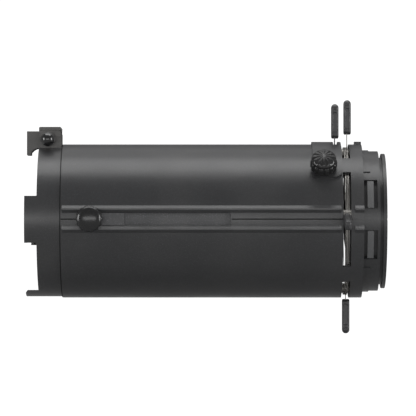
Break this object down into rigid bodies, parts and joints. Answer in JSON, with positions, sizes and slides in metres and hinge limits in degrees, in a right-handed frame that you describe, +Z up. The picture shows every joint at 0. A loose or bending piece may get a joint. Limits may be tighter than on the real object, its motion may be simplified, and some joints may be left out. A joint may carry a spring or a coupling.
{
  "type": "ellipsoidal spotlight barrel",
  "caption": "Front barrel of an ellipsoidal spotlight, with shutters, a drop-in iris, two sliding lenses, a colour-frame holder and a rear mounting neck.",
  "frame": {"origin": "on the optical axis, at the rear face of the rear flange", "axes": "+X along the beam, +Y to the focus knob's side, +Z up"},
  "size_m": [0.415, 0.2638, 0.2712],
  "materials": {
    "barrel_paint": "die cast, black powder coat, fine grain, satin",
    "holder_anodised": "black anodised, matt",
    "knob_plastic": "moulded black, satin",
    "grip_plastic": "moulded black, satin",
    "ball_plastic": "polished black",
    "shutter_steel": "bright stainless sheet",
    "zinc_steel": "zinc plated",
    "iris_steel": "blackened spring steel",
    "lens_glass": "polished",
    "pad_nylon": "dark grey, low sheen",
    "latch_paint": "black powder coat on pressed steel"
  },
  "bodies": {
    "barrel": {"barrel_upper": "barrel_paint", "barrel_lower": "barrel_paint", "front_ring": "barrel_paint", "slot_cover": "barrel_paint", "neck_pads": "pad_nylon", "ring_screws": "zinc_steel", "bracket_screws": "zinc_steel", "plunger_sleeve": "zinc_steel", "gate_screws": "zinc_steel", "latch_bracket": "latch_paint", "latch_pin": "latch_paint", "gate_plate": "iris_steel", "shutter_ring_rear": "iris_steel", "shutter_ring_front": "iris_steel", "spacer_ring_1": "zinc_steel", "spacer_ring_2": "zinc_steel", "spacer_ring_3": "zinc_steel", "accessory_guide": "iris_steel", "iris_base": "iris_steel", "iris_cover": "iris_steel"},
    "latch": {"latch_arm": "latch_paint"},
    "plunger": {"plunger_pin": "zinc_steel", "plunger_ball": "ball_plastic"},
    "swivel_top": {"shutter_guide_top": "zinc_steel"},
    "shutter_top": {"shutter_blade_top": "shutter_steel", "shutter_grip_top": "grip_plastic"},
    "swivel_bottom": {"shutter_guide_bottom": "zinc_steel"},
    "shutter_bottom": {"shutter_blade_bottom": "shutter_steel", "shutter_grip_bottom": "grip_plastic"},
    "swivel_near": {"shutter_guide_near": "zinc_steel"},
    "shutter_near": {"shutter_blade_near": "shutter_steel", "shutter_grip_near": "grip_plastic"},
    "swivel_far": {"shutter_guide_far": "zinc_steel"},
    "shutter_far": {"shutter_blade_far": "shutter_steel", "shutter_grip_far": "grip_plastic"},
    "iris_cam": {"cam_ring": "iris_steel", "iris_grip": "grip_plastic"},
    "leaf_1": {"iris_leaf_1": "iris_steel"},
    "leaf_2": {"iris_leaf_2": "iris_steel"},
    "leaf_3": {"iris_leaf_3": "iris_steel"},
    "leaf_4": {"iris_leaf_4": "iris_steel"},
    "leaf_5": {"iris_leaf_5": "iris_steel"},
    "leaf_6": {"iris_leaf_6": "iris_steel"},
    "focus_carrier": {"focus_lens_holder": "holder_anodised", "focus_lens": "lens_glass", "focus_slider": "holder_anodised", "focus_slot_strip": "holder_anodised"},
    "focus_lock": {"focus_knob": "knob_plastic", "focus_knob_stud": "zinc_steel"},
    "zoom_carrier": {"zoom_lens_holder": "holder_anodised", "zoom_lens": "lens_glass", "zoom_slider": "holder_anodised", "zoom_slot_strip": "holder_anodised"},
    "zoom_lock": {"zoom_knob": "knob_plastic", "zoom_knob_stud": "zinc_steel"},
    "cover_lock_near": {"cover_knob_near": "knob_plastic", "cover_stud_near": "zinc_steel"},
    "cover_lock_far": {"cover_knob_far": "knob_plastic", "cover_stud_far": "zinc_steel"}
  },
  "joints": [
    {"name": "latch_hinge", "type": "hinge", "parent": "barrel", "child": "latch", "pos_m": [0.3785, 0, 0.1005], "axis": [0, -1, 0], "range_deg": [0, 90]},
    {"name": "plunger_slide", "type": "slide", "parent": "barrel", "child": "plunger", "axis": [0, 1, 0], "range_m": [-0.006, 0]},
    {"name": "tilt_top", "type": "hinge", "parent": "barrel", "child": "swivel_top", "pos_m": [0.0459, 0, 0.078], "axis": [1, 0, 0], "range_deg": [-18, 18]},
    {"name": "push_top", "type": "slide", "parent": "swivel_top", "child": "shutter_top", "axis": [0, 0, 1], "range_m": [-0.01, 0.029]},
    {"name": "tilt_bottom", "type": "hinge", "parent": "barrel", "child": "swivel_bottom", "pos_m": [0.0459, 0, -0.078], "axis": [1, 0, 0], "range_deg": [-18, 18]},
    {"name": "push_bottom", "type": "slide", "parent": "swivel_bottom", "child": "shutter_bottom", "axis": [0, 0, -1], "range_m": [0, 0.038]},
    {"name": "tilt_near", "type": "hinge", "parent": "barrel", "child": "swivel_near", "pos_m": [0.0459, 0.07781, 0.00544], "axis": [1, 0, 0], "range_deg": [0, 34]},
    {"name": "push_near", "type": "slide", "parent": "swivel_near", "child": "shutter_near", "axis": [0, 0.9613, -0.2756], "range_m": [0, 0.038]},
    {"name": "tilt_far", "type": "hinge", "parent": "barrel", "child": "swivel_far", "pos_m": [0.0459, -0.078, 0], "axis": [1, 0, 0], "range_deg": [-18, 18]},
    {"name": "push_far", "type": "slide", "parent": "swivel_far", "child": "shutter_far", "axis": [0, -1, 0], "range_m": [-0.004, 0.034]},
    {"name": "iris_lever", "type": "hinge", "parent": "barrel", "child": "iris_cam", "pos_m": [0.0575, 0, 0], "axis": [1, 0, 0], "range_deg": [-11, 11]},
    {"name": "iris_leaf_1_pivot", "type": "hinge", "parent": "barrel", "child": "leaf_1", "pos_m": [0.054, 0.045, 0], "axis": [1, 0, 0], "range_deg": [-19.9, 19.9]},
    {"name": "iris_leaf_2_pivot", "type": "hinge", "parent": "barrel", "child": "leaf_2", "pos_m": [0.05442, 0.0225, 0.03897], "axis": [1, 0, 0], "range_deg": [-19.9, 19.9]},
    {"name": "iris_leaf_3_pivot", "type": "hinge", "parent": "barrel", "child": "leaf_3", "pos_m": [0.05484, -0.0225, 0.03897], "axis": [1, 0, 0], "range_deg": [-19.9, 19.9]},
    {"name": "iris_leaf_4_pivot", "type": "hinge", "parent": "barrel", "child": "leaf_4", "pos_m": [0.05526, -0.045, 0], "axis": [1, 0, 0], "range_deg": [-19.9, 19.9]},
    {"name": "iris_leaf_5_pivot", "type": "hinge", "parent": "barrel", "child": "leaf_5", "pos_m": [0.05568, -0.0225, -0.03897], "axis": [1, 0, 0], "range_deg": [-19.9, 19.9]},
    {"name": "iris_leaf_6_pivot", "type": "hinge", "parent": "barrel", "child": "leaf_6", "pos_m": [0.0561, 0.0225, -0.03897], "axis": [1, 0, 0], "range_deg": [-19.9, 19.9]},
    {"name": "focus_slide", "type": "slide", "parent": "barrel", "child": "focus_carrier", "axis": [1, 0, 0], "range_m": [-0.06, 0]},
    {"name": "focus_lock_turn", "type": "hinge", "parent": "focus_carrier", "child": "focus_lock", "pos_m": [0.3395, 0.0923, 0], "axis": [0, 1, 0], "continuous": true},
    {"name": "zoom_slide", "type": "slide", "parent": "barrel", "child": "zoom_carrier", "axis": [1, 0, 0], "range_m": [-0.02, 0.012]},
    {"name": "zoom_lock_turn", "type": "hinge", "parent": "zoom_carrier", "child": "zoom_lock", "pos_m": [0.2205, -0.0923, 0], "axis": [0, -1, 0], "continuous": true},
    {"name": "cover_lock_near_turn", "type": "hinge", "parent": "barrel", "child": "cover_lock_near", "pos_m": [0.0727, 0.07055, 0.0592], "axis": [0, 0.766, 0.6428], "continuous": true},
    {"name": "cover_lock_far_turn", "type": "hinge", "parent": "barrel", "child": "cover_lock_far", "pos_m": [0.0727, -0.07055, 0.0592], "axis": [0, -0.766, 0.6428], "continuous": true}
  ],
  "couplings": [
    {"joint": "iris_leaf_1_pivot", "follows": "iris_lever", "ratio": 1.8},
    {"joint": "iris_leaf_2_pivot", "follows": "iris_lever", "ratio": 1.8},
    {"joint": "iris_leaf_3_pivot", "follows": "iris_lever", "ratio": 1.8},
    {"joint": "iris_leaf_4_pivot", "follows": "iris_lever", "ratio": 1.8},
    {"joint": "iris_leaf_5_pivot", "follows": "iris_lever", "ratio": 1.8},
    {"joint": "iris_leaf_6_pivot", "follows": "iris_lever", "ratio": 1.8}
  ]
}
